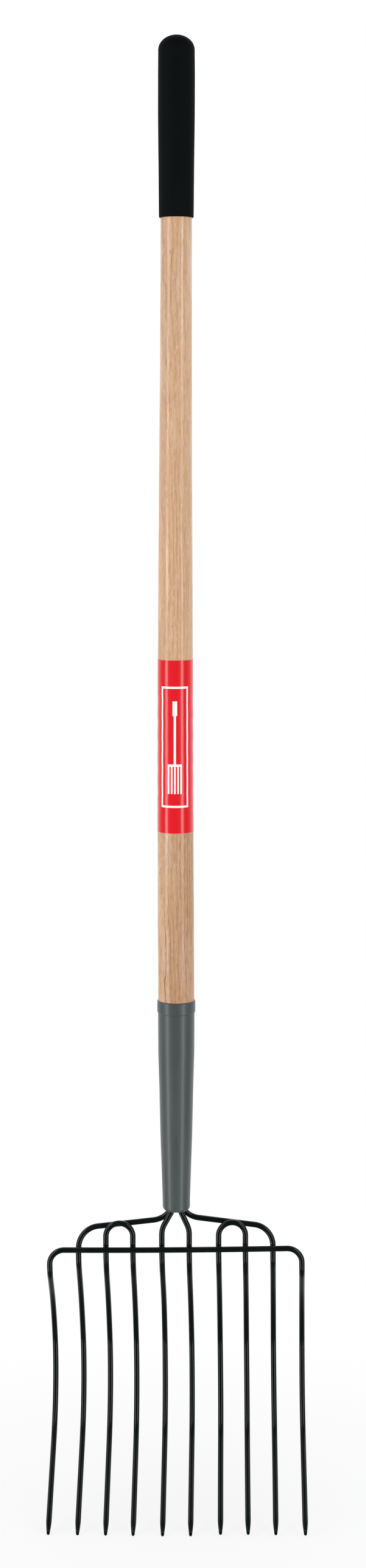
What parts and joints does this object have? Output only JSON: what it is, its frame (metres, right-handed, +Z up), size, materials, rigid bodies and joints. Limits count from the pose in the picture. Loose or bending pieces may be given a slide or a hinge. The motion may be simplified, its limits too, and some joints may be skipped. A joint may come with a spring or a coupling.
{
  "type": "hay fork",
  "caption": "Long-handled bedding fork with a curved head of bent steel wires, a tapered metal ferrule, a wooden handle and a foam end grip.",
  "frame": {"origin": "under the middle of the fork's box, on the ground that the points of the tines stand on", "axes": "+Z up along the handle from the tines to the grip, +X to the fork's left side as seen from behind, +Y towards the back, away from the hollow side of the tines"},
  "size_m": [0.2904, 0.127, 1.6177],
  "materials": {
    "handle_wood": "clear lacquered light hardwood",
    "grip_foam": "matte black foam rubber",
    "label_film": "gloss red film with a white outline",
    "ferrule_paint": "satin mid grey",
    "screw_steel": "zinc plated",
    "wire_paint": "gloss black"
  },
  "bodies": {
    "root": {"handle": "handle_wood", "grip": "grip_foam", "label_band": "label_film", "ferrule": "ferrule_paint", "ferrule_collar": "ferrule_paint", "ferrule_screw": "screw_steel", "outer_bow": "wire_paint", "arm_left": "wire_paint", "arm_right": "wire_paint", "hairpin_left": "wire_paint", "hairpin_right": "wire_paint", "centre_tine_left": "wire_paint", "centre_tine_right": "wire_paint", "crossbar_welds": "wire_paint", "hairpin_welds": "wire_paint"}
  },
  "joints": []
}
